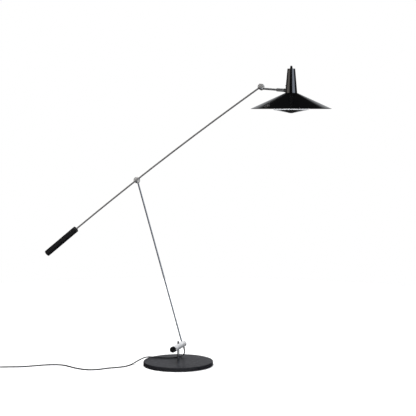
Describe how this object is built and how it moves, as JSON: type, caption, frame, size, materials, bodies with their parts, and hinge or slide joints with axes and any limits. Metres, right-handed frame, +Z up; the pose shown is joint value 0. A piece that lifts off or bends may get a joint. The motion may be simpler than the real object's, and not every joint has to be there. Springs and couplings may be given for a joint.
{
  "type": "adjustable arm floor lamp",
  "caption": "Floor lamp with a weighted disc base, a leaning chrome stem, a long counterweighted arm and a wide shallow cone shade, on friction joints.",
  "frame": {"origin": "centre of the base's underside, on the floor", "axes": "+Z up; +X from the base towards the shade; the stem, arm and elbow hinges turn about Y; -Y is the side that the black tension knob faces"},
  "size_m": [1.7745, 0.6971, 1.49],
  "materials": {
    "black_lacquer": "semi-gloss charcoal black lacquer on spun steel",
    "shade_black": "spun aluminium, gloss black outside and matt white inside",
    "neck_black": "spun aluminium, gloss black lacquer",
    "chrome": "polished chrome plate",
    "satin_nickel": "satin nickel, brushed round the barrel",
    "steel": "bright zinc-plated steel",
    "weight_black": "turned steel bar, satin black",
    "cast_iron": "raw cast iron",
    "brass": "turned brass",
    "fibre": "brown vulcanised fibre",
    "black_plastic": "black phenolic moulding",
    "opal": "white opal acrylic",
    "cord_black": "black PVC sheath, matt",
    "pad_black": "black rubberised felt",
    "globe_glass": "frosted white glass",
    "porcelain": "white moulded lampholder"
  },
  "bodies": {
    "root": {"base_cover": "black_lacquer", "base_weight": "cast_iron", "base_pad": "pad_black", "base_washer": "steel", "base_nut": "steel", "post": "chrome", "clamp_screw": "steel", "barrel_tube": "satin_nickel", "barrel_core": "brass", "barrel_bush": "brass", "spindle": "steel", "tension_springs": "steel", "thrust_washer": "steel", "tilt_friction_discs": "fibre", "rear_cap": "satin_nickel", "cord_relief": "cord_black", "mains_cord": "cord_black", "cord_coil": "cord_black", "cord_tail": "cord_black", "cord_tie": "cord_black", "plug_body": "cord_black", "plug_pins": "brass"},
    "tension_knob": {"tension_knob": "black_plastic", "knob_insert": "brass"},
    "stem": {"tilt_collar": "satin_nickel", "collar_grub": "steel", "stem_eye": "chrome", "stem_tube": "chrome"},
    "arm": {"arm_tube": "chrome", "counterweight": "weight_black", "mid_knuckle": "chrome", "mid_bolt": "chrome", "elbow_knuckle": "chrome", "elbow_bolt": "chrome", "pivot_washers": "fibre", "pivot_springs": "steel", "pivot_cap_nuts": "chrome", "arm_grubs": "steel"},
    "link": {"link_eye": "chrome", "link_rod": "chrome"},
    "head": {"swivel_sleeve": "chrome", "swivel_stud": "steel", "neck_boss": "black_lacquer", "neck_bracket": "steel", "bracket_screw": "steel", "bracket_nuts": "steel", "neck": "neck_black", "shade": "shade_black", "shade_ring": "steel", "lampholder": "porcelain", "holder_plate": "steel", "lamp_cap": "brass", "lamp_globe": "globe_glass", "switch_body": "black_plastic", "glare_dish": "neck_black", "opal_ring": "opal", "dish_hangers": "steel", "hanger_nuts": "steel"},
    "switch_knob": {"switch_knob": "black_plastic", "switch_shaft": "steel"}
  },
  "joints": [
    {"name": "stem_tilt", "type": "hinge", "parent": "root", "child": "stem", "pos_m": [0, 0.0647, 0.093], "axis": [0, 1, 0], "range_deg": [-8, 20]},
    {"name": "arm_pivot", "type": "hinge", "parent": "stem", "child": "arm", "pos_m": [-0.23854, 0.0647, 0.91405], "axis": [0, -1, 0], "range_deg": [-30, 35]},
    {"name": "elbow_pivot", "type": "hinge", "parent": "arm", "child": "link", "pos_m": [0.41093, 0.0647, 1.38045], "axis": [0, -1, 0], "range_deg": [-20, 50]},
    {"name": "head_swivel", "type": "hinge", "parent": "link", "child": "head", "pos_m": [0.41093, 0.0647, 1.38045], "axis": [0.9971, 0, -0.0767], "range_deg": [-60, 60]},
    {"name": "switch_turn", "type": "hinge", "parent": "head", "child": "switch_knob", "pos_m": [0.5595, 0.0647, 1.4764], "axis": [0, 0, 1], "range_deg": [0, 90]},
    {"name": "tension_turn", "type": "hinge", "parent": "root", "child": "tension_knob", "pos_m": [0, -0.08, 0.093], "axis": [0, -1, 0], "range_deg": [-120, 120]}
  ]
}
